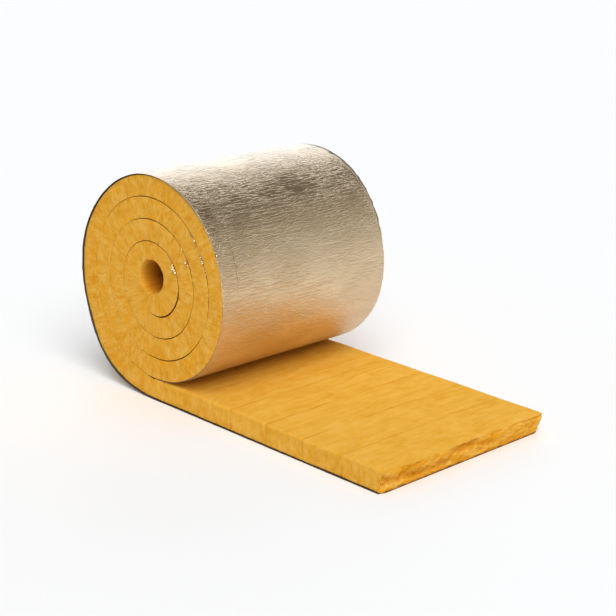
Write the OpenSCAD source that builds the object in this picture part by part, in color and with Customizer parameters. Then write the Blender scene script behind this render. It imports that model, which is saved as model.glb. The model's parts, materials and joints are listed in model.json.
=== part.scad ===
// Foil-faced lamella mat of mineral wool, wound into a roll that lies on its own unrolled tail.
// The wool is one solid with a true bore. Its turns show as a spiral seam on both ends,
// and its lamellae, the strips of wool that lie side by side on the foil, as fine joints.

/* [Mat] */
// Thickness of the mat, wool and facing together
mat_t = 50; // [30:1:80]
// Width of the mat, which is also the length of the roll along its axis
mat_w = 500; // [300:10:1000]
// Length that lies unrolled, from under the roll's axis to the cut end
tail_l = 705; // [300:5:2000]
// Width of one lamella, measured along the mat from its cut end
lamella_w = 112; // [60:1:200]

/* [Roll] */
// Full turns of mat between the floor and the bore
turns = 4; // [2:1:6]
// Diameter of the hole through the middle of the roll
bore_d = 70; // [50:1:150]
// How far the outer turn bellies out where the mat leaves the floor
belly = 12; // [0:1:20]

/* [Facing] */
// Thickness of the foil facing on the mat's outer side
foil_t = 0.5; // [0.3:0.1:2]

/* [Seams] */
// Width of the seam that shows between two turns on the ends
seam_w = 1.2; // [0.8:0.1:3]
// Depth of the seam, measured in from each end
seam_depth = 4; // [2:0.5:10]
// Width of the joint between two lamellae
joint_w = 0.8; // [0.5:0.1:2]
// Depth of the joint, from the wool's surface
joint_depth = 2; // [1:0.5:5]

/* [Hidden] */
// Flat sides that one turn of the spiral is drawn with
facets = 72;
// Share of a turn over which the belly rises and fades
belly_span = 0.2;
// Share of a turn by which the mat's inner end lies past the lowest point
end_past = 0.04;
// Extra length of a cutting tool past the face it cuts through
overcut = 1;

// The spiral loses one mat thickness per turn. Under the roll the floor is turn 0,
// and the bore's wall lies half a turn and a full turn past the last of the turns.
base_r = bore_d / 2 + (turns + 0.75) * mat_t;
bore_z = base_r + mat_t / 4;
inner_end = turns + end_past;
outer_turn = stretch(0, 1, 0);
roll_left = min([for (p = outer_turn) p[0]]);
mid_x = (roll_left + tail_l) / 2;

function belly_at(turn) =
    turn < belly_span ? belly * pow(sin(180 * turn / belly_span), 2) : 0;

function radius_at(turn) = base_r - mat_t * turn + belly_at(turn);

// The length of mat that a number of turns takes up, and the turns that a length makes
function length_of(turn) = PI * turn * (2 * base_r - mat_t * turn);
function turn_at(length) = (base_r - sqrt(pow(base_r, 2) - mat_t * length / PI)) / mat_t;

// A point of the spiral in the roll's section, moved inwards by inset
function wind(turn, inset) =
    let (r = radius_at(turn) - inset, a = 360 * turn)
    [-r * sin(a), base_r - r * cos(a)];

// The spiral from one turn to another
function stretch(first, last, inset) =
    let (n = ceil((last - first) * facets))
    [for (i = [0:n]) wind(first + (last - first) * i / n, inset)];

// Every joint's place along the mat, from under the roll's axis: negative on the tail
joints = [for (place = [lamella_w - tail_l:lamella_w:length_of(inner_end)]) place];

function reversed(list) = [for (i = [len(list) - 1:-1:0]) list[i]];

// A closed band between the spiral and the same spiral moved inwards
function band(first, last, thickness) =
    concat(stretch(first, last, 0), reversed(stretch(first, last, thickness)));

// Extrudes a section, drawn in X and Z, along the roll's axis
module along_axis(length) {
    rotate([90, 0, 0]) linear_extrude(height = length, center = true) children();
}

module wool_section() {
    polygon(concat(
        [[tail_l, foil_t]],
        stretch(0, 1, foil_t),
        [[0, mat_t], [tail_l, mat_t]]
    ));
}

module foil_section() {
    polygon(concat(
        [[tail_l, 0]],
        band(0, 1, foil_t),
        [[tail_l, foil_t]]
    ));
}

// A narrow slot from the spiral towards the roll's middle
module radial_slot(turn, width, length) {
    translate([0, base_r])
        rotate(-360 * turn)
            translate([-width / 2, -radius_at(turn)])
                square([width, length]);
}

// The line between the turns, from the nip to the mat's inner end, and the cut of that end
module seam_section() {
    polygon(band(1, inner_end, seam_w));
    radial_slot(inner_end, seam_w, radius_at(inner_end));
}

module joint_section() {
    for (place = joints)
        if (place < 0)
            translate([-place - joint_w / 2, 0]) square([joint_w, mat_t]);
        else
            radial_slot(turn_at(place), joint_w, mat_t);
}

// Cuts a section into both ends of the mat, to a depth
module cut_ends(depth) {
    for (side = [-1, 1])
        translate([0, side * (mat_w + overcut - depth) / 2, 0])
            along_axis(depth + overcut) children();
}

// The joints across the top of the tail
module top_joints() {
    for (place = joints)
        if (place < 0)
            translate([-place, 0, mat_t - (joint_depth - overcut) / 2])
                cube([joint_w, mat_w + 2 * overcut, joint_depth + overcut], center = true);
}

module bore() {
    translate([0, 0, bore_z])
        rotate([90, 0, 0])
            cylinder(d = bore_d, h = mat_w + 2 * overcut, center = true, $fn = 96);
}

module wool_mat() {
    color([0.87, 0.64, 0.23])
        translate([-mid_x, 0, 0])
            difference() {
                along_axis(mat_w) wool_section();
                bore();
                cut_ends(seam_depth) seam_section();
                cut_ends(joint_depth) joint_section();
                top_joints();
            }
}

module foil_facing() {
    color([0.76, 0.69, 0.60])
        translate([-mid_x, 0, 0])
            along_axis(mat_w) foil_section();
}

wool_mat();
foil_facing();
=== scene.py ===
import bisect
import json
import math

import bpy
from mathutils import Matrix, Vector, noise


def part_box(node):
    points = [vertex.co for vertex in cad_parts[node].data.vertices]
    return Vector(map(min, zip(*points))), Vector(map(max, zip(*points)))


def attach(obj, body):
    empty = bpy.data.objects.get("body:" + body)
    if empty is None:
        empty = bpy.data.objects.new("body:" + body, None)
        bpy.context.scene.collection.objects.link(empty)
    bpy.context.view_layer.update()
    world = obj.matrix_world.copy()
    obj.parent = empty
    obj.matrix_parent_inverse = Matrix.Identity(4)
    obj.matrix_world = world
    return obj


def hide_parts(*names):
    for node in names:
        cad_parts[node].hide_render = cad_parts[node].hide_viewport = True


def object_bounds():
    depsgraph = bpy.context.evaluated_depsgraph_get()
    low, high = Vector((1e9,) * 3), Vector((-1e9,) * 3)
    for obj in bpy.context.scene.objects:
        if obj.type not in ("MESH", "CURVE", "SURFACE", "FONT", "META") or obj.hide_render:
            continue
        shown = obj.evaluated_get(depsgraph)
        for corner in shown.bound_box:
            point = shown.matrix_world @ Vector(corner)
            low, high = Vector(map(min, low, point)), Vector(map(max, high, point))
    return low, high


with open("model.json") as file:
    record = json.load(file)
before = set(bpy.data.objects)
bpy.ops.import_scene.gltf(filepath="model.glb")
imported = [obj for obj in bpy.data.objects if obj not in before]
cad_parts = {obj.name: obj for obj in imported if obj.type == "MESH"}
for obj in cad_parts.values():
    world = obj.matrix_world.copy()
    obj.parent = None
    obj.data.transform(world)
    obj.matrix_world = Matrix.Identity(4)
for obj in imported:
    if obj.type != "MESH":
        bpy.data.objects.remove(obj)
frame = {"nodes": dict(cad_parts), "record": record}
cadBox = [list(corner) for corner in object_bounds()]
print("the frame is loaded:", sorted(frame["nodes"]))

scene = bpy.context.scene
matLow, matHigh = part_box("wool_mat")
matWidth = matHigh.y - matLow.y
matMiddle, matHalf = (matLow.y + matHigh.y) / 2, matWidth / 2
rollTop = cadBox[1][2]
coreBore = next(mount for mount in frame["record"]["mounts"] if mount["name"] == "core_bore")
boreX, _, boreZ = coreBore["pos_m"]
boreRadius = coreBore["dims"]["r_mm"] / 1000

# The roll's section is a spiral that loses one mat thickness in each turn. Turn 0 is under the
# roll's axis on the floor, and the turns run up the left side, over the top and down to the nip.
winding = {
    "thickness": 2 * boreZ - rollTop,     # the bore is half a thickness above the middle of the roll
    "endPast": 0.04,       # share of a turn by which the inner end lies past the lowest point
    "belly": 0.012,        # how far the mat stands out where it leaves the floor
    "bellySpan": 0.2,
    "pinches": ((0.375, 0.11, 0.004), (0.71, 0.12, 0.004)),   # turn, reach and depth, outer turn only
    "boreShift": (-0.005, 0.0045),    # the open middle is a little out of round
    "boreStretch": (1.08, 1.0),
    "stepsPerTurn": 96,
    "tailStep": 0.02,
    "lamella": 0.112,      # width of one strip of wool, along the mat
}
# half a turn on from the floor, at the top of the roll, the spiral has lost half a thickness
winding["baseRadius"] = boreZ - winding["thickness"] / 4
winding["turns"] = round((winding["baseRadius"] - boreRadius) / winding["thickness"] - 0.75)
winding["inner"] = winding["turns"] + winding["endPast"]


def smooth(value, low=0.0, high=1.0):
    share = min(max((value - low) / (high - low), 0.0), 1.0)
    return share * share * (3 - 2 * share)


def bump(value, middle, reach):
    return smooth(reach - abs(value - middle), 0, reach)


def rollRadius(turn):
    radius = winding["baseRadius"] - winding["thickness"] * turn
    if turn < winding["bellySpan"]:
        radius += winding["belly"] * math.sin(math.pi * turn / winding["bellySpan"]) ** 2
    for middle, reach, depth in winding["pinches"]:
        radius -= depth * bump(turn, middle, reach)
    return radius


def boreEdge(turn):
    # distance from the spiral's middle to the wall of the open middle, along a turn's direction
    wide, high = (boreRadius * stretch for stretch in winding["boreStretch"])
    shiftX = winding["boreShift"][0]
    shiftZ = boreZ - winding["baseRadius"] + winding["boreShift"][1]
    across, down = -math.sin(2 * math.pi * turn) / wide, -math.cos(2 * math.pi * turn) / high
    shiftX, shiftZ = shiftX / wide, shiftZ / high
    square = across * across + down * down
    half = across * shiftX + down * shiftZ
    return (half + math.sqrt(half * half - square * (shiftX ** 2 + shiftZ ** 2 - 1))) / square


def makePath():
    # from the mat's inner end, out along the spiral and then along the floor to the cut end
    steps = round(winding["inner"] * winding["stepsPerTurn"])
    turns = [winding["inner"] * (1 - i / steps) for i in range(steps + 1)]
    points = []
    for turn in turns:
        radius, angle = rollRadius(turn), 2 * math.pi * turn
        points.append((boreX - radius * math.sin(angle),
                       winding["baseRadius"] - radius * math.cos(angle)))
    tailSteps = round((matHigh.x - boreX) / winding["tailStep"])
    for i in range(1, tailSteps + 1):
        points.append((boreX + (matHigh.x - boreX) * i / tailSteps, 0))
    lengths = [0.0]
    for (x0, z0), (x1, z1) in zip(points, points[1:]):
        lengths.append(lengths[-1] + math.hypot(x1 - x0, z1 - z0))
    winding["turnMarks"] = turns
    winding["lengthMarks"] = lengths[:len(turns)]
    winding["rolled"] = lengths[len(turns) - 1]
    winding["length"] = lengths[-1]
    line = bpy.data.curves.new("windingLine", "CURVE")
    line.dimensions = "2D"
    line.use_deform_bounds = False
    line.use_stretch = False
    line.use_radius = False
    spline = line.splines.new("POLY")
    spline.points.add(len(points) - 1)
    spline.points.foreach_set("co", [value for x, z in points for value in (x, z, 0, 1)])
    path = bpy.data.objects.new("windingLine", line)
    scene.collection.objects.link(path)
    path.rotation_euler = (math.pi / 2, 0, 0)
    return path


def turnOf(along):
    # which turn of the spiral a place along the mat is on, and below 0 on the tail
    if along >= winding["rolled"]:
        return (winding["rolled"] - along) / (2 * math.pi * winding["baseRadius"])
    marks = winding["lengthMarks"]
    i = min(max(bisect.bisect_right(marks, along) - 1, 0), len(marks) - 2)
    share = (along - marks[i]) / (marks[i + 1] - marks[i])
    return winding["turnMarks"][i] * (1 - share) + winding["turnMarks"][i + 1] * share


def thicknessAt(turn):
    # the mat reaches in to the turn inside it, and on the innermost turn to the open middle
    if turn <= 0:
        return winding["thickness"]
    if turn + 1 <= winding["inner"]:
        return rollRadius(turn) - rollRadius(turn + 1)
    return rollRadius(turn) - boreEdge(turn)


def deselectAll():
    if bpy.context.object and bpy.context.object.mode != "OBJECT":
        bpy.ops.object.mode_set(mode="OBJECT")
    bpy.ops.object.select_all(action="DESELECT")


def choose(piece):
    # the piece alone is selected and active
    deselectAll()
    piece.select_set(True)
    bpy.context.view_layer.objects.active = piece


def pickFaces(piece, wanted):
    # selects the faces that fit, in edit mode
    bpy.ops.object.mode_set(mode="OBJECT")
    mesh = piece.data
    mesh.vertices.foreach_set("select", [False] * len(mesh.vertices))
    mesh.edges.foreach_set("select", [False] * len(mesh.edges))
    mesh.polygons.foreach_set("select", [wanted(face.center, face.normal) for face in mesh.polygons])
    bpy.ops.object.mode_set(mode="EDIT")
    bpy.context.tool_settings.mesh_select_mode = (False, False, True)


def addGrid(name, low, high, alongCuts, acrossCuts):
    deselectAll()
    bpy.ops.mesh.primitive_grid_add(x_subdivisions=alongCuts, y_subdivisions=acrossCuts, size=1)
    piece = bpy.context.object
    piece.name = name
    piece.location = [(a + b) / 2 for a, b in zip(low, high)]
    piece.scale = (high[0] - low[0], high[1] - low[1], 1)
    bpy.ops.object.transform_apply(location=True, rotation=True, scale=True)
    return piece


def applyModifier(piece, kind, **values):
    choose(piece)
    modifier = piece.modifiers.new(kind.lower(), kind)
    for key, value in values.items():
        setattr(modifier, key, value)
    bpy.ops.object.modifier_apply(modifier=modifier.name)


def keepFlatPlace(piece):
    # the place of each point on the flat mat, for materials that follow the mat round the roll
    mesh = piece.data
    places = [0.0] * (3 * len(mesh.vertices))
    mesh.vertices.foreach_get("co", places)
    mesh.attributes.new("flatPlace", "FLOAT_VECTOR", "POINT").data.foreach_set("vector", places)


def rollUp(piece, path):
    applyModifier(piece, "CURVE", object=path, deform_axis="POS_X")


def grain(seed, first, second):
    # soft noise between -1 and 1 over two directions, different for each seed
    return noise.noise(Vector((first, second, seed)))


def ridges(seed, first, second):
    return 1 - abs(grain(seed, first, second)) * 2


def crowdedSide(y):
    # crowds the columns of a grid towards the mat's two long edges, which are at -1 and 1
    side = (y - matMiddle) / matHalf
    free = 1 - abs(side)
    return math.copysign(1 - 1.5 * free * free / (free + 0.5), side)


seam = {
    "shut": 0.05,           # how far a seam gapes where it is tightest, of 1
    # part of a turn, reach and how much wider
    "gapes": ((0.51, 0.15, 0.30), (0.68, 0.12, 0.20), (0.94, 0.22, 0.34), (-0.06, 0.14, 0.34)),
    "outerLess": 0.6,       # how much less the outer turn's edge is rounded past the top of the roll
    "outerFrom": (0.42, 0.6),
    "innermost": 0.42,      # how much wider the innermost seam gapes over its last third of a turn
    "innerFrom": (-0.36, -0.24),
    "closing": 0.1,         # share of a turn over which it closes to a fifth at the mat's inner end
}


def seamOpen(turn):
    # how wide the seam outside this turn gapes at the ends of the roll, from 0 to 1
    if turn < 1:
        return 1.0 - seam["outerLess"] * smooth(turn, *seam["outerFrom"])
    gape = seam["shut"]
    for middle, reach, more in seam["gapes"]:
        gape += more * bump(turn % 1, middle, reach)
    last = winding["inner"] - turn
    gape += seam["innermost"] * smooth(-last, *seam["innerFrom"])
    return gape * (0.2 + 0.8 * smooth(last, 0.0, seam["closing"]))


wool = {
    "stationStep": 0.006,
    "columns": 12,
    "rows": 7,
    "tailCuts": 2,           # cuts that make the faces finer on the tail, along its lip and on its torn end
    "lipCuts": 2,
    "lipWidth": 0.03,
    "tearCuts": 4,
    "edge": 0.0055,          # rounding of the tail's upper edges
    "seamEdge": 0.0024,      # rounding at a seam that gapes wide
    "edgeDrift": (0.6, 1.1),     # how much the roundings wander, on the outer turn and inside it
    "edgeLeast": 0.05,
    "foilGap": 0.001,        # room for the foil and its wrinkles under the wool
    "jointWidth": 0.004,
    "jointDepth": 0.0012,
    "topJointDepth": 0.0010,
    "sideJointShade": 0.45,      # a joint's darkness on the mat's sides, of 1 on the tail's top
    "sideInset": 0.0006,     # how far the sides lie inside the mat's full width
    "sideRough": (0.0006, 0.0010, 0.0006),    # the sides' streaks, swell and fine grain
    "topRough": (0.00018, 0.0012, 0.0004),    # the tail top's slopes, waves and clumps
    "tearRough": (0.0030, 0.0022, 0.0013),    # the torn end's clumps, tufts and crumbs
    "lipRough": (0.0032, 0.0026),             # the long and the short waves of its lip
    "tearReach": 0.028,
    "lipReach": (0.007, 0.014),     # how far the top leans out over the foot, near and far
    "tearDepth": 0.0075,
    "cornerSlack": 0.005,    # how far the torn end's two corners draw back
    "tearSag": (0.0008, 0.0045, 0.0012),      # how the lip sags everywhere, in places and finely
    "rim": 0.003,            # rounding of the open middle's rim, and how much more on the left
    "softRim": 0.005,
    "boreUneven": 0.0022,
    "seed": 7.3,
}


def makeWoolSlab():
    length, foot, top = winding["length"], wool["foilGap"], winding["thickness"]
    stations = round(length / wool["stationStep"])
    low, high = (0, matLow.y, foot), (length, matHigh.y, foot)
    slab = addGrid("wool_mat_visual", low, high, stations, wool["columns"])
    rise = (top - foot) / wool["rows"]
    bpy.ops.object.mode_set(mode="EDIT")
    bpy.ops.mesh.select_all(action="SELECT")
    for _ in range(wool["rows"]):
        bpy.ops.mesh.extrude_region_move(TRANSFORM_OT_translate={"value": (0, 0, rise)})
    bpy.ops.mesh.select_all(action="SELECT")
    bpy.ops.mesh.normals_make_consistent(inside=False)
    bpy.ops.object.mode_set(mode="OBJECT")
    for point in slab.data.vertices:
        point.co.y = matMiddle + matHalf * crowdedSide(point.co.y)
    print("wool slab:", len(slab.data.polygons), "faces")
    return slab


def refineTail(slab):
    # the tail's faces are finer than the roll's, and finest next to the torn end
    length, foot = winding["length"], wool["foilGap"]
    tailFrom = winding["rolled"] - 0.02
    pickFaces(slab, lambda middle, normal: middle.x > tailFrom and middle.z > foot + 0.0001)
    bpy.ops.mesh.subdivide(number_cuts=wool["tailCuts"])
    pickFaces(slab, lambda middle, normal: normal.z > 0.9 and middle.x > length - wool["lipWidth"])
    bpy.ops.mesh.subdivide(number_cuts=wool["lipCuts"])
    pickFaces(slab, lambda middle, normal: middle.x > length - 0.0001)
    bpy.ops.mesh.subdivide(number_cuts=wool["tearCuts"])
    # where fine faces meet coarse ones, many-cornered faces are split while they are still flat
    bpy.ops.mesh.select_all(action="DESELECT")
    bpy.ops.mesh.select_face_by_sides(number=4, type="GREATER")
    bpy.ops.mesh.quads_convert_to_tris(quad_method="BEAUTY", ngon_method="BEAUTY")
    bpy.ops.object.mode_set(mode="OBJECT")
    print("wool slab with its tail refined:", len(slab.data.polygons), "faces")


def roundEdges(slab):
    # the long edges are rounded by an amount that wanders along the mat
    mesh = slab.data
    weights = mesh.attributes.new("bevel_weight_edge", "FLOAT", "EDGE")
    nearHalf = matHalf - 1e-5
    values = [0.0] * len(mesh.edges)
    points = [point.co.copy() for point in mesh.vertices]
    for i, edge in enumerate(mesh.edges):
        a, b = points[edge.vertices[0]], points[edge.vertices[1]]
        onSide = abs(a.y - matMiddle) > nearHalf and abs(b.y - matMiddle) > nearHalf
        atTop = a.z > winding["thickness"] - 1e-5 and b.z > winding["thickness"] - 1e-5
        atFoot = a.z < wool["foilGap"] + 1e-5 and b.z < wool["foilGap"] + 1e-5
        if onSide and (atTop or atFoot) and abs(a.y - b.y) < 1e-6:
            turn = turnOf((a.x + b.x) / 2)
            drift = grain(wool["seed"], a.x * 16, a.y * 5)
            if turn <= 0 and atTop:
                gape = wool["edge"] / wool["seamEdge"]
            elif atFoot:
                gape = seamOpen(turn)
            else:
                gape = seamOpen(turn + 1) if turn + 1 < winding["inner"] else 0.5
            wander = wool["edgeDrift"][0 if turn < 1 else 1]
            rounding = max(gape * (1 + wander * drift), wool["edgeLeast"]) * wool["seamEdge"]
            values[i] = min(rounding / wool["edge"], 1.0)
    weights.data.foreach_set("value", values)
    applyModifier(slab, "BEVEL", width=wool["edge"], segments=2, limit_method="WEIGHT",
                  offset_type="OFFSET", profile=0.5, use_clamp_overlap=False)


def jointNear(along):
    # how close a place is to a joint between two lamellae, from 0 to 1 at the joint
    offset = (winding["length"] - along) / winding["lamella"]
    nearest = abs(offset - round(offset)) * winding["lamella"]
    return 0.0 if round(offset) < 1 else smooth(wool["jointWidth"] - nearest, 0, wool["jointWidth"])


def tornEnd(y, height, side, onFace):
    # how far the torn end stands out at a place, and how much painted shade it gets there
    seed = wool["seed"]
    near, far = wool["lipReach"]
    longRough, shortRough = wool["lipRough"]
    lean = (near + (far - near) * (side + 1) / 2) * smooth(height, -0.2, 1.0)
    lip = longRough * grain(seed, y / 0.045, 1.7) + shortRough * grain(seed, y / 0.011, 4.1)
    out = lean + lip * smooth(height, 0.55, 1.0) - wool["cornerSlack"] * smooth(abs(side), 0.965, 1.0) ** 2
    if not onFace:
        return out, 0.0
    z = height * winding["thickness"]
    pit = grain(seed + 50, y / 0.075, z / 0.03)
    clump = grain(seed + 60, y / 0.021, z / 0.013)
    tuft = grain(seed + 70, y / 0.0095, z / 0.006)
    crumb = grain(seed + 80, y / 0.005, z / 0.0035)
    clumpOut, tuftOut, crumbOut = wool["tearRough"]
    belt = smooth(height, 0.0, 0.3) * smooth(1 - height, 0.0, 0.2)
    deep = smooth(pit + 0.45 * clump + 0.5 * (height - 0.55), -0.1, 0.5) * belt
    rough = (0.35 + 0.65 * belt) * (1 - 0.65 * smooth(abs(side), 0.93, 1.0))
    out += (clumpOut * clump + tuftOut * tuft + crumbOut * crumb) * rough - wool["tearDepth"] * deep
    out -= 0.003 * (1 - smooth(height, 0.0, 0.14)) * (0.6 + clump)
    # painted shade: darker in the hollows and along the foot, less where clumps and tufts stand out
    dark = 0.75 * deep - 0.5 * tuft - 0.3 * clump + 0.5 * (1 - smooth(height, 0.0, 0.16))
    return out, min(max(dark, 0.0), 1.0)


def sideInward(x, z, joint, seed):
    # the long sides of the mat: short streaks through its thickness, a soft swell and the joints
    streak = grain(seed, x / 0.013, z / 0.04)
    swell = grain(seed + 9, x / 0.06, z / 0.035)
    fine = grain(seed + 4, x / 0.009, z / 0.011)
    streakOut, swellOut, fineOut = wool["sideRough"]
    split = wool["jointDepth"] * joint * max(0.25 + 1.5 * streak, 0)
    return streakOut * streak + swellOut * swell + fineOut * fine + split + wool["sideInset"]


def topRise(x, y, joint, seed):
    # the open top of the tail: low waves and clumps, and ragged joints
    slope = grain(seed + 14, x / 0.012, y / 0.07)
    wave = grain(seed + 21, x / 0.10, y / 0.14)
    clump = grain(seed + 28, x / 0.018, y / 0.03)
    ragged = 0.55 + 0.9 * grain(seed + 35, x * 3, y / 0.03)
    slopeOut, waveOut, clumpOut = wool["topRough"]
    split = wool["topJointDepth"] * joint * max(ragged, 0.1)
    return slopeOut * slope + waveOut * wave + clumpOut * clump - split


def seamShadeAt(turn, height):
    # how much painted shade a rounded edge gets: the foot edge of the outer turn and the tail all along,
    # those beside a seam where it gapes
    if turn < 1 and height < 0.5:
        return 1.0
    return min(2.2 * seamOpen(turn + (height > 0.5)), 1.0)


def sculptWool(slab):
    mesh = slab.data
    length, foot, top = winding["length"], wool["foilGap"], winding["thickness"]
    hollow, joints, groove, calm = ([0.0] * len(mesh.vertices) for _ in range(4))
    for i, point in enumerate(mesh.vertices):
        x, y, z = point.co
        height = (z - foot) / (top - foot)
        side = (y - matMiddle) / matHalf
        joint = jointNear(x) * (0.85 + 1.3 * noise.noise(Vector((x * 9, y / 0.05, z / 0.03))))
        turn = turnOf(x)
        innermost = turn + 1 > winding["inner"]
        onTailTop = turn <= 0 and height > 0.9
        joints[i] = max(joint, 0) * (1 if onTailTop else wool["sideJointShade"])
        # the tail and the innermost turn have fewer cracks and spots
        calm[i] = (0.5 + 0.5 * smooth(height, 0.6, 1.0)) * smooth(-turn, -0.03, 0.03) * (x < length - 1e-4)
        if innermost:
            calm[i] = 0.5 * smooth(height, 0.1, 0.7)
        seed = wool["seed"] + (3 if side > 0 else 0)
        # painted shade along the rounded edges beside gaping seams and along the outer turn's foot
        rounded = matHalf - 2 * wool["seamEdge"] < abs(y - matMiddle) < matHalf - 1e-5
        bySeam = height < 0.08 or height > 0.92 and 0 < turn < winding["inner"] - 1
        if rounded and bySeam and x < length - 0.001:
            groove[i] = seamShadeAt(turn, height)
        atSide = smooth(abs(side), 0.985, 1.0)
        if atSide > 0:
            y -= math.copysign(1, side) * sideInward(x, z, joint, seed) * atSide
        onTop = smooth(height, 0.9, 1.0)
        if turn <= 0.001 and onTop > 0:
            z += onTop * topRise(x, y, joint, seed)
        fromEnd = length - x
        if fromEnd < wool["tearReach"]:
            near = smooth(wool["tearReach"] - fromEnd, 0, wool["tearReach"])
            # the torn end gets its painted shade here
            out, hollow[i] = tornEnd(y, height, side, fromEnd < 1e-4)
            x += near * out
            least, more, fine = wool["tearSag"]
            sag = least + more * max(grain(seed, y / 0.05, 8.8), 0)
            z -= onTop * near * (sag + fine * grain(seed, y / 0.009, fromEnd / 0.01))
        # the mat gives way to the turn inside it, and fills in round the open middle
        share = (thicknessAt(max(turn, 0)) - foot) / (top - foot)
        z = foot + (z - foot) * share
        if innermost:
            rim = wool["rim"] + wool["softRim"] * bump(turn % 1, 0.2, 0.3)
            uneven = wool["boreUneven"] * grain(seed + 42, x / 0.035, y / 0.06)
            z -= smooth(height, 0.4, 1.0) * (rim * smooth(abs(side), 0.94, 1.0) ** 2 + uneven)
            # painted shade inside the open middle, fading out towards the roll's ends
            deep = smooth(height, 0.9, 1.0)
            hollow[i] = deep * (1 - smooth(abs(side), 0.92, 1.0))
            groove[i] = max(groove[i], 0.16 * deep * (1 - smooth(abs(side), 0.6, 0.95)))
        elif height < 0.1 and atSide > 0 and turn >= 1:
            # where the seam outside this turn is shut, the mat's foot comes out to meet it
            shut = 1 - min(2.5 * seamOpen(turn), 1)
            z -= (foot - 0.0001) * shut * atSide * (1 - height / 0.1)
        # every rolled turn gets a little painted shade, so the roll is darker than the tail
        if turn > 0.03:
            hollow[i] = max(hollow[i], 0.1)
        point.co = (x, y, z)
    for label, values in (("hollow", hollow), ("joint", joints), ("groove", groove), ("calm", calm)):
        mesh.attributes.new(label, "FLOAT", "POINT").data.foreach_set("value", values)


def makeWool(path):
    slab = makeWoolSlab()
    roundEdges(slab)
    refineTail(slab)
    keepFlatPlace(slab)
    sculptWool(slab)
    rollUp(slab, path)
    choose(slab)
    bpy.ops.object.shade_smooth_by_angle(angle=math.radians(50))
    return slab


foil = {
    "stationStep": 0.0105,
    "columns": 24,
    "cuts": 2,
    "thickness": 0.00025,
    "wrinkle": 0.00017,
    "edgeBand": 0.004,
    "reach": (0.0028, 0.0010),    # how far the edge stands out past the wool, and on the tail's far side
    "snug": (0.0012, -0.0002),    # the same past the top of the roll, at the far and the near side
    "ragged": 0.0007,
    "innerReach": -0.0045,   # between the turns the foil stays back, and comes out in two places
    "innerPeek": (0.52, 0.10, 0.0030),
    "scraps": (0.645, 0.11, 0.0038, 0.0065),  # place, reach and how far out, all along and at glints
    "scrapLift": 0.0045,
    "tailCorner": 0.006,     # how far the foil's two corners draw back under the torn end
    "crumple": (0.54, 0.025),     # part of a turn and place across the mat
    "seed": 21.4,
}


def glintSpots(x, side):
    # the places along an edge where bright scraps of foil stand out
    return smooth(grain(side * 3, x / 0.013, foil["seed"] + 4), -0.05, 0.3)


def foilReach(turn, x, side):
    # how far the foil's edge stands out past the wool at the ends of the roll
    if turn < 1:
        ragged = grain(side * 3, x / 0.012, foil["seed"])
        flush = smooth(turn, 0.56, 0.70)
        out = foil["reach"][0 if turn > -0.06 or side < 0 else 1]
        snug = foil["snug"][0 if side > 0 else 1]
        return out * (1 - flush) + snug * flush + foil["ragged"] * ragged * (1 - 0.7 * flush)
    part = turn % 1
    peekAt, peekReach, peek = foil["innerPeek"]
    scrapsAt, scrapsReach, always, more = foil["scraps"]
    scraps = bump(part, scrapsAt, scrapsReach) * (always + more * glintSpots(x, side))
    return foil["innerReach"] + peek * bump(part, peekAt, peekReach) + scraps


def makeFoilSheet():
    length = winding["length"]
    stations = round(length / foil["stationStep"])
    low, high = (0, matLow.y, 0), (length + 0.001, matHigh.y, 0)
    sheet = addGrid("foil_facing_visual", low, high, stations, foil["columns"])
    marks = winding["lengthMarks"]
    outerFrom = marks[-1 - winding["stepsPerTurn"]] - 0.02
    pickFaces(sheet, lambda middle, normal: outerFrom < middle.x < winding["rolled"] + 0.05)
    bpy.ops.mesh.subdivide(number_cuts=foil["cuts"])
    bpy.ops.object.mode_set(mode="OBJECT")
    foil["outerFrom"] = outerFrom
    print("foil sheet:", len(sheet.data.polygons), "faces")
    return sheet


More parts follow.
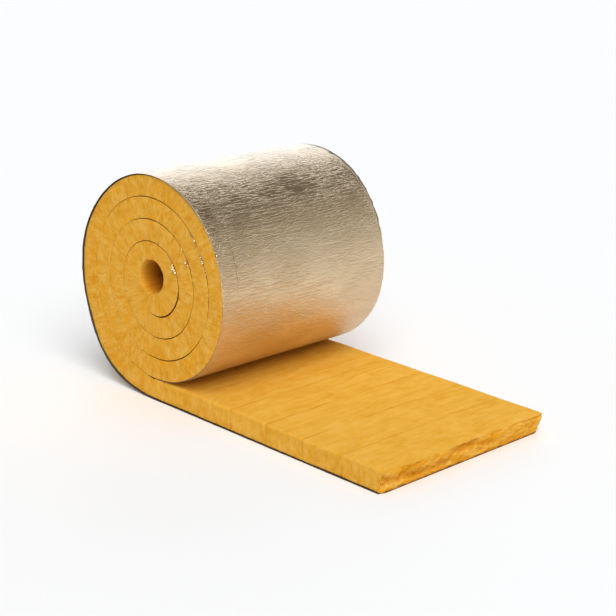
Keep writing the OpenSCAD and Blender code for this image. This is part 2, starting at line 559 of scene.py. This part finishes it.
def sculptFoil(sheet):
    mesh = sheet.data
    seed = foil["seed"]
    tailEnd = winding["length"]
    crumpleTurn, crumpleAcross = foil["crumple"]
    worn, rounds = [0.0] * len(mesh.vertices), [0.0] * len(mesh.vertices)
    for i, point in enumerate(mesh.vertices):
        x, y, z = point.co
        side = crowdedSide(y)
        turn = turnOf(x)
        part = turn % 1
        atEdge = smooth(abs(side), 1 - foil["edgeBand"] / matHalf, 1.0)
        onRoll = smooth(x, foil["outerFrom"], foil["outerFrom"] + 0.03) * smooth(turn, -0.02, 0.02)
        y = matMiddle + matHalf * side
        x -= foil["tailCorner"] * smooth(abs(side), 0.95, 1.0) ** 2 * smooth(x, tailEnd - 0.02, tailEnd)
        # wrinkles that run along the roll, and a crumple
        long = ridges(seed, x / 0.017, y / 0.07)
        broad = grain(seed + 5, x / 0.03, y / 0.12)
        knot = bump(y - matMiddle, crumpleAcross, 0.07) * bump(part, crumpleTurn, 0.05)
        crumple = ridges(seed + 12, (x + y) / 0.024, (x - y) / 0.03) * knot
        z += onRoll * foil["wrinkle"] * (0.5 - long * 1.1 - broad - 1.6 * crumple)
        # painted shade darkens the far edge in ragged notches over the top of the roll
        if side > 0.9 and 0 < turn < 1:
            notch = 0.005 + 0.014 * max(grain(0, x / 0.013, seed + 30), 0) * bump(part, 0.56, 0.1)
            inNotch = smooth(side, 1 - notch / matHalf, 1 - 0.5 * notch / matHalf)
            worn[i] = inNotch * smooth(bump(part, 0.59, 0.15), 0, 0.5)
        # the cut edges are ragged, a little curled, and rolled off where they lie flush
        if atEdge > 0:
            spots = glintSpots(x, round(side))
            y += math.copysign(1, side) * foilReach(turn, x, round(side)) * atEdge
            if turn < 0:
                z += (0.0009 + 0.0006 * grain(side, x / 0.03, seed)) * atEdge
            elif turn < 1:
                curl = 0.0003 * smooth(turn, 0.5, 0.62) + 0.0018 * bump(part, 0.66, 0.13) * spots
                z += curl * atEdge
            else:
                z += foil["scrapLift"] * bump(part, foil["scraps"][0], 0.12) * spots * atEdge
            # painted shade along the cut edges: a band on the tail and the outer turn up to the top, and a
            # thin darker line a little further round
            rimShade = atEdge ** 3 * (1 - smooth(turn, 0.58, 0.68))
            worn[i] = max(worn[i], atEdge * (1 - smooth(turn, 0.44, 0.5)), rimShade)
        rounds[i] = turn if 0 < turn < 1 else 0.0
        point.co = (x, y, z)
    for label, values in (("worn", worn), ("round", rounds)):
        mesh.attributes.new(label, "FLOAT", "POINT").data.foreach_set("value", values)


def makeFoil(path):
    sheet = makeFoilSheet()
    keepFlatPlace(sheet)
    sculptFoil(sheet)
    rollUp(sheet, path)
    # slot 0 is the glued side, and slot 1 the bright side and the cut edge
    sheet.data.materials.append(None)
    sheet.data.materials.append(None)
    applyModifier(sheet, "SOLIDIFY", thickness=foil["thickness"], offset=1,
                  material_offset=1, material_offset_rim=1)
    choose(sheet)
    bpy.ops.object.shade_smooth_by_angle(angle=math.radians(40))
    return sheet


def newGroup(name, inputs, outputs):
    # a shader node group with named inputs, their values, and named outputs
    group = bpy.data.node_groups.new(name, "ShaderNodeTree")
    for label, kind, value in inputs:
        socket = group.interface.new_socket(name=label, in_out="INPUT", socket_type=kind)
        if value is not None:
            socket.default_value = value
    for label, kind in outputs:
        group.interface.new_socket(name=label, in_out="OUTPUT", socket_type=kind)
    return group


def addNode(tree, kind, **values):
    node = tree.nodes.new(kind)
    for key, value in values.items():
        setattr(node, key, value)
    return node


def link(tree, *pairs):
    for source, target in pairs:
        tree.links.new(source, target)


def makeStreakGroup():
    # long soft streaks: noise drawn out by three stretches, one for each direction
    inputs = (("Vector", "NodeSocketVector", None), ("Stretch", "NodeSocketVector", (1, 1, 1)),
              ("Detail", "NodeSocketFloat", 3.0), ("Warp", "NodeSocketFloat", 0.3))
    group = newGroup("streaks", inputs, (("Value", "NodeSocketFloat"),))
    start, end = addNode(group, "NodeGroupInput"), addNode(group, "NodeGroupOutput")
    drawn = addNode(group, "ShaderNodeVectorMath", operation="MULTIPLY")
    cloud = addNode(group, "ShaderNodeTexNoise", noise_dimensions="3D")
    cloud.inputs["Roughness"].default_value = 0.55
    cloud.inputs["Scale"].default_value = 1.0
    link(group, (start.outputs["Vector"], drawn.inputs[0]), (start.outputs["Stretch"], drawn.inputs[1]),
         (drawn.outputs[0], cloud.inputs["Vector"]), (start.outputs["Detail"], cloud.inputs["Detail"]),
         (start.outputs["Warp"], cloud.inputs["Distortion"]),
         (cloud.outputs["Fac"], end.inputs["Value"]))
    return group


def streaks(tree, group, vector, stretch, detail, warp):
    node = addNode(tree, "ShaderNodeGroup", node_tree=group)
    node.inputs["Stretch"].default_value = stretch
    node.inputs["Detail"].default_value = detail
    node.inputs["Warp"].default_value = warp
    tree.links.new(vector, node.inputs["Vector"])
    return node.outputs["Value"]


def mathNode(tree, operation, first, second=None, clamp=False):
    node = addNode(tree, "ShaderNodeMath", operation=operation, use_clamp=clamp)
    for socket, value in zip(node.inputs, (first, second)):
        if value is None:
            continue
        if isinstance(value, (int, float)):
            socket.default_value = value
        else:
            tree.links.new(value, socket)
    return node.outputs[0]


def plus(tree, first, second, clamp=False):
    return mathNode(tree, "ADD", first, second, clamp)


def minus(tree, first, second, clamp=False):
    return mathNode(tree, "SUBTRACT", first, second, clamp)


def times(tree, first, second, clamp=False):
    return mathNode(tree, "MULTIPLY", first, second, clamp)


def attribute(tree, label, output="Fac"):
    return addNode(tree, "ShaderNodeAttribute", attribute_name=label).outputs[output]


def ramp(tree, value, *stops):
    # smooth between three stops or more, and straight between two
    node = addNode(tree, "ShaderNodeValToRGB")
    node.color_ramp.interpolation = "B_SPLINE" if len(stops) > 2 else "LINEAR"
    elements = node.color_ramp.elements
    while len(elements) < len(stops):
        elements.new(0.5)
    for element, (place, colour) in zip(elements, stops):
        element.position = place
        element.color = (*colour, 1) if len(colour) == 3 else colour
    tree.links.new(value, node.inputs["Fac"])
    return node.outputs["Color"]


def mixColours(tree, blend, amount, first, second):
    node = addNode(tree, "ShaderNodeMix", data_type="RGBA", blend_type=blend)
    # the sockets for colours share their names with the others, so they are picked by number
    sockets = (node.inputs[0], node.inputs[6], node.inputs[7])
    for socket, value in zip(sockets, (amount, first, second)):
        if isinstance(value, (int, float, tuple)):
            socket.default_value = value
        else:
            tree.links.new(value, socket)
    return node.outputs[2]


def newMaterial(name):
    material = bpy.data.materials.new(name)
    material.use_nodes = True
    tree = material.node_tree
    shader = tree.nodes["Principled BSDF"]
    return material, tree, shader


def giveMaterial(piece, *materials):
    # clearing the slots would drop the faces' choice of slot, so it is kept and put back
    slots = [face.material_index for face in piece.data.polygons]
    piece.data.materials.clear()
    for material in materials:
        piece.data.materials.append(material)
    piece.data.polygons.foreach_set("material_index", slots)


def makeWoolMaterial(streakGroup):
    colours = {
        "deep": (0.69, 0.29, 0.012),
        "plain": (0.795, 0.41, 0.048),
        "pale": (0.855, 0.50, 0.10),
        "amber": (0.83, 0.36, 0.010),
        # the crack colour is painted shade in the wool's cracks
        "crack": (0.52, 0.19, 0.008),
        # the hollow colour is painted shade in the hollows and the open middle, and also the joints' own
        # darker colour
        "hollow": (0.56, 0.19, 0.003),
        # the groove colour is painted shade in the seams
        "groove": (0.11, 0.04, 0.005),
    }
    # how many streaks to a metre along the mat, across it and through it, their detail and their warp
    kinds = {
        "bands": ((70, 10, 34), 3, 0.7),
        "fibres": ((210, 26, 62), 4, 0.9),
        "patches": ((24, 16, 32), 3, 0.8),
        "rifts": ((95, 13, 36), 2, 0.9),
        "spots": ((36, 22, 48), 3, 0.8),
        "fuzz": ((620, 240, 420), 2, 1.5),
    }
    material, tree, shader = newMaterial("amberMineralWool")
    place = attribute(tree, "flatPlace", "Vector")
    pit = attribute(tree, "hollow")
    joint = attribute(tree, "joint")
    groove = attribute(tree, "groove")
    calm = attribute(tree, "calm")
    bands, fibres, patches, rifts, spots, fuzz = (streaks(tree, streakGroup, place, *kind)
                                                  for kind in kinds.values())
    tone = plus(tree, times(tree, bands, 0.32), times(tree, fibres, 0.3))
    tone = plus(tree, tone, times(tree, patches, 0.38))
    # the tail and the innermost turn are more even in colour
    evened = times(tree, minus(tree, 0.5, tone), times(tree, calm, 0.5))
    tone = plus(tree, tone, evened)
    colour = ramp(tree, tone, (0.385, colours["deep"]), (0.5, colours["plain"]),
                  (0.615, colours["pale"]))
    # painted shade in thin cracks, where the patches allow, and a small dent in the relief
    crack = ramp(tree, rifts, (0.478, (0, 0, 0)), (0.5, (1, 1, 1)), (0.522, (0, 0, 0)))
    crack.node.color_ramp.interpolation = "LINEAR"
    crackedPatches = ramp(tree, patches, (0.50, (0, 0, 0)), (0.60, (0.65, 0.65, 0.65)))
    crack = times(tree, crack, minus(tree, crackedPatches, calm, True))
    spotted = ramp(tree, spots, (0.57, (0, 0, 0)), (0.66, (0.7, 0.7, 0.7)))
    spotted = minus(tree, spotted, times(tree, calm, 0.5), True)
    colour = mixColours(tree, "MIX", spotted, colour, (*colours["amber"], 1))
    colour = mixColours(tree, "MIX", crack, colour, (*colours["crack"], 1))
    # painted shade in the hollows, the open middle and the rolled turns, mixed with the joints' own darker
    # colour
    dark = plus(tree, times(tree, pit, 0.85), times(tree, joint, 0.38))
    colour = mixColours(tree, "MIX", dark, colour, (*colours["hollow"], 1))
    # painted shade in the seams and along the outer turn's foot
    seamShadeMix = ramp(tree, groove, (0.0, (0, 0, 0)), (0.4, (1, 1, 1)))
    colour = mixColours(tree, "MIX", seamShadeMix, colour, (*colours["groove"], 1))
    tree.links.new(colour, shader.inputs["Base Color"])
    shader.inputs["Roughness"].default_value = 1.0
    shader.inputs["Specular IOR Level"].default_value = 0.05
    height = plus(tree, times(tree, fibres, 0.6), times(tree, fuzz, 0.4))
    height = minus(tree, height, times(tree, crack, 0.3))
    relief = addNode(tree, "ShaderNodeBump")
    relief.inputs["Strength"].default_value = 0.8
    relief.inputs["Distance"].default_value = 0.0021
    link(tree, (height, relief.inputs["Height"]), (relief.outputs["Normal"], shader.inputs["Normal"]))
    return material


def makeCreaseGroup():
    # thin folded ridges round long, bent cells
    inputs = (("Vector", "NodeSocketVector", None), ("Stretch", "NodeSocketVector", (1, 1, 1)),
              ("Wander", "NodeSocketFloat", 0.6), ("Width", "NodeSocketFloat", 0.1))
    group = newGroup("creases", inputs, (("Ridge", "NodeSocketFloat"), ("Facet", "NodeSocketFloat")))
    start, end = addNode(group, "NodeGroupInput"), addNode(group, "NodeGroupOutput")
    drawn = addNode(group, "ShaderNodeVectorMath", operation="MULTIPLY")
    drift = addNode(group, "ShaderNodeTexNoise", noise_dimensions="3D")
    drift.inputs["Scale"].default_value = 0.9
    drift.inputs["Detail"].default_value = 2.0
    pushed = addNode(group, "ShaderNodeVectorMath", operation="SCALE")
    moved = addNode(group, "ShaderNodeVectorMath", operation="ADD")
    edge = addNode(group, "ShaderNodeTexVoronoi", voronoi_dimensions="2D", feature="DISTANCE_TO_EDGE")
    cell = addNode(group, "ShaderNodeTexVoronoi", voronoi_dimensions="2D", feature="F1")
    edge.inputs["Scale"].default_value = cell.inputs["Scale"].default_value = 1.0
    share = addNode(group, "ShaderNodeMath", operation="DIVIDE", use_clamp=True)
    turned = addNode(group, "ShaderNodeMath", operation="SUBTRACT")
    turned.inputs[0].default_value = 1.0
    link(group, (start.outputs["Vector"], drawn.inputs[0]), (start.outputs["Stretch"], drawn.inputs[1]),
         (drawn.outputs[0], drift.inputs["Vector"]), (drift.outputs["Color"], pushed.inputs[0]),
         (start.outputs["Wander"], pushed.inputs["Scale"]), (drawn.outputs[0], moved.inputs[0]),
         (pushed.outputs[0], moved.inputs[1]), (moved.outputs[0], edge.inputs["Vector"]),
         (moved.outputs[0], cell.inputs["Vector"]), (edge.outputs["Distance"], share.inputs[0]),
         (start.outputs["Width"], share.inputs[1]), (share.outputs[0], turned.inputs[1]),
         (turned.outputs[0], end.inputs["Ridge"]), (cell.outputs["Distance"], end.inputs["Facet"]))
    return group


def creases(tree, group, vector, stretch, wander, width):
    node = addNode(tree, "ShaderNodeGroup", node_tree=group)
    node.inputs["Stretch"].default_value = stretch
    node.inputs["Wander"].default_value = wander
    node.inputs["Width"].default_value = width
    tree.links.new(vector, node.inputs["Vector"])
    return node.outputs["Ridge"], node.outputs["Facet"]


def makeRingGroup():
    # one thin wandering crease round the roll, over part of a turn
    ring = {"width": 0.0018, "wander": 0.022, "bends": 34.0}
    inputs = (("Vector", "NodeSocketVector", None), ("Round", "NodeSocketFloat", 0.0),
              ("Place", "NodeSocketFloat", 0.0), ("Middle", "NodeSocketFloat", 0.6),
              ("Reach", "NodeSocketFloat", 0.1))
    group = newGroup("ringCrease", inputs, (("Ridge", "NodeSocketFloat"),))
    start, end = addNode(group, "NodeGroupInput"), addNode(group, "NodeGroupOutput")
    parts = addNode(group, "ShaderNodeSeparateXYZ")
    drift = addNode(group, "ShaderNodeTexNoise", noise_dimensions="1D")
    drift.inputs["Scale"].default_value = ring["bends"]
    drift.inputs["Detail"].default_value = 3.0
    link(group, (start.outputs["Vector"], parts.inputs[0]), (parts.outputs["X"], drift.inputs["W"]))
    wander = times(group, minus(group, drift.outputs["Fac"], 0.5), ring["wander"])
    offset = minus(group, plus(group, parts.outputs["Y"], wander), start.outputs["Place"])
    beside = mathNode(group, "DIVIDE", mathNode(group, "ABSOLUTE", offset), ring["width"])
    near = minus(group, 1.0, beside, True)
    away = mathNode(group, "ABSOLUTE", minus(group, start.outputs["Round"], start.outputs["Middle"]))
    over = minus(group, 1.0, mathNode(group, "DIVIDE", away, start.outputs["Reach"]), True)
    strong = times(group, over, 3.0, True)
    link(group, (times(group, near, strong), end.inputs["Ridge"]))
    return group


def makeFoilMaterial(streakGroup, creaseGroup):
    colours = {
        "bright": (0.78, 0.615, 0.40),
        "dull": (0.67, 0.505, 0.31),
        # the worn colour is painted shade along the cut edges and in the ring creases
        "worn": (0.075, 0.066, 0.048),
    }
    # the creases round the roll: place across the mat, part of a turn, and reach
    rings = ((-0.170, 0.655, 0.085), (-0.152, 0.60, 0.045))
    material, tree, shader = newMaterial("champagneFoil")
    place = attribute(tree, "flatPlace", "Vector")
    worn = attribute(tree, "worn")
    turn = attribute(tree, "round")
    ridge, facet = creases(tree, creaseGroup, place, (140, 23, 1), 1.6, 0.16)
    thin, fleck = creases(tree, creaseGroup, place, (260, 48, 1), 1.3, 0.18)
    broad = streaks(tree, streakGroup, place, (12, 7, 1), 2, 0.3)
    crowd = streaks(tree, streakGroup, place, (16, 11, 1), 2, 0.6)
    many = ramp(tree, crowd, (0.35, (0.4, 0.4, 0.4)), (0.6, (1, 1, 1)))
    height = plus(tree, times(tree, ridge, 0.40), times(tree, facet, -0.26))
    height = plus(tree, height, times(tree, thin, 0.13))
    height = minus(tree, height, times(tree, fleck, 0.06))
    height = times(tree, height, many)
    ringGroup = makeRingGroup()
    folds = []
    for middle, at, reach in rings:
        ring = addNode(tree, "ShaderNodeGroup", node_tree=ringGroup)
        for label, value in (("Place", middle), ("Middle", at), ("Reach", reach)):
            ring.inputs[label].default_value = value
        link(tree, (place, ring.inputs["Vector"]), (turn, ring.inputs["Round"]))
        height = plus(tree, height, times(tree, ring.outputs["Ridge"], -0.2))
        folds.append(ring.outputs["Ridge"])
    relief = addNode(tree, "ShaderNodeBump")
    relief.inputs["Strength"].default_value = 1.0
    relief.inputs["Distance"].default_value = 0.0017
    link(tree, (height, relief.inputs["Height"]), (relief.outputs["Normal"], shader.inputs["Normal"]))
    colour = ramp(tree, broad, (0.3, colours["dull"]), (0.7, colours["bright"]))
    # painted shade in the ring creases and along the cut edges
    creaseShade = times(tree, mathNode(tree, "MAXIMUM", folds[0], folds[1]), 0.55)
    edgeAndCreaseShade = mathNode(tree, "MAXIMUM", worn, creaseShade)
    colour = mixColours(tree, "MIX", edgeAndCreaseShade, colour, (*colours["worn"], 1))
    tree.links.new(colour, shader.inputs["Base Color"])
    # the foil is less metallic under the painted edge shade
    tree.links.new(minus(tree, 0.94, worn, True), shader.inputs["Metallic"])
    # the lower half of the roll is scuffed dull
    scuffed = ramp(tree, turn, (0.64, (0, 0, 0)), (0.80, (0.24, 0.24, 0.24)))
    rough = plus(tree, times(tree, broad, 0.12), 0.15)
    rough = plus(tree, rough, scuffed)
    # the painted edge shade is also rougher
    rough = plus(tree, rough, times(tree, worn, 0.6), True)
    tree.links.new(rough, shader.inputs["Roughness"])
    shader.inputs["Coat Weight"].default_value = 0.15
    shader.inputs["Coat Roughness"].default_value = 0.25
    return material


def makeShadedBackingMaterial():
    # the side of the foil that is glued to the wool, painted near-black as the shade along the edges where
    # it shows
    material, tree, shader = newMaterial("facingBack")
    shader.inputs["Base Color"].default_value = (0.07, 0.06, 0.045, 1)
    shader.inputs["Roughness"].default_value = 0.7
    return material


studio = {
    "floorSize": 120.0,
    "floorColour": (0.905, 0.895, 0.875),
    "keyFrom": (0.52, -0.33, 0.79),
    "keyStrength": 2.38,
    "keyAngle": 45.0,
    # from the level up to straight overhead
    "sky": ((0.0, (0.53, 0.53, 0.53)), (0.42, (0.51, 0.51, 0.51)), (0.58, (0.32, 0.32, 0.31)),
            (0.67, (0.11, 0.10, 0.08)), (0.80, (0.09, 0.08, 0.065)), (0.9, (0.62, 0.67, 0.75)),
            (1.0, (1.15, 1.26, 1.46))),
    "panelFrom": (-0.65, 0.70, 0.30),      # the bright panel behind the roll, as seen from it
    "panelGlow": ((0.895, (0, 0, 0)), (0.945, (1.08, 1.18, 1.36))),
}


def makeStudio():
    deselectAll()
    bpy.ops.mesh.primitive_plane_add(size=studio["floorSize"], location=(0, 0, 0))
    floor = bpy.context.object
    floor.name = "studioFloor"
    material, tree, shader = newMaterial("paleFloor")
    shader.inputs["Base Color"].default_value = (*studio["floorColour"], 1)
    shader.inputs["Roughness"].default_value = 0.9
    shader.inputs["Specular IOR Level"].default_value = 0.1
    giveMaterial(floor, material)

    # the sky has a dark belt below a bright ceiling, and a bright panel stands behind the roll
    world = bpy.data.worlds.new("softStudio")
    scene.world = world
    world.use_nodes = True
    tree = world.node_tree
    direction = addNode(tree, "ShaderNodeTexCoord").outputs["Generated"]
    height = addNode(tree, "ShaderNodeSeparateXYZ")
    tree.links.new(direction, height.inputs[0])
    sky = ramp(tree, height.outputs["Z"], *studio["sky"])
    sky.node.color_ramp.interpolation = "LINEAR"
    toPanel = addNode(tree, "ShaderNodeVectorMath", operation="DOT_PRODUCT")
    toPanel.inputs[1].default_value = Vector(studio["panelFrom"]).normalized()
    tree.links.new(direction, toPanel.inputs[0])
    panel = ramp(tree, toPanel.outputs["Value"], *studio["panelGlow"])
    tree.links.new(mixColours(tree, "ADD", 1.0, sky, panel), tree.nodes["Background"].inputs["Color"])

    key = bpy.data.lights.new("keyLight", "SUN")
    key.energy = studio["keyStrength"]
    key.angle = math.radians(studio["keyAngle"])
    keyObject = bpy.data.objects.new("keyLight", key)
    keyObject.rotation_euler = Vector(studio["keyFrom"]).to_track_quat("Z", "Y").to_euler()
    scene.collection.objects.link(keyObject)


def makeCamera():
    # angles in degrees, lengths in metres, and the lens in millimetres
    view = {"azimuth": 45.329, "elevation": 17.637, "roll": 1.216, "distance": 3.65,
            "target": (-0.0038, 0.0177, 0.2151), "lens": 94.67}
    azimuth, elevation = math.radians(view["azimuth"]), math.radians(view["elevation"])
    forward = Vector((-math.sin(azimuth) * math.cos(elevation), math.cos(azimuth) * math.cos(elevation),
                      -math.sin(elevation)))
    right = Vector((math.cos(azimuth), math.sin(azimuth), 0))
    up = right.cross(forward)
    level = Matrix((right, up, -forward)).transposed().to_4x4()
    camera = bpy.data.cameras.new("camera")
    camera.lens = view["lens"]
    camera.clip_end = 200
    cameraObject = bpy.data.objects.new("camera", camera)
    place = Matrix.Translation(Vector(view["target"]) - forward * view["distance"])
    cameraObject.matrix_world = place @ level @ Matrix.Rotation(math.radians(view["roll"]), 4, "Z")
    scene.collection.objects.link(cameraObject)
    scene.camera = cameraObject


makeCamera()
makeStudio()
scene.view_settings.view_transform = "Standard"
windingPath = makePath()
print("winding:", round(winding["length"], 3), "m of mat")
streakGroup = makeStreakGroup()

woolPiece = makeWool(windingPath)
giveMaterial(woolPiece, makeWoolMaterial(streakGroup))
print("wool done:", len(woolPiece.data.polygons), "faces")

foilPiece = makeFoil(windingPath)
giveMaterial(foilPiece, makeShadedBackingMaterial(), makeFoilMaterial(streakGroup, makeCreaseGroup()))
print("foil done:", len(foilPiece.data.polygons), "faces")

bpy.data.objects.remove(windingPath)
for piece, node, slot in ((woolPiece, "wool_mat", "wool"), (foilPiece, "foil_facing", "foil")):
    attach(piece, "root")
    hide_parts(node)
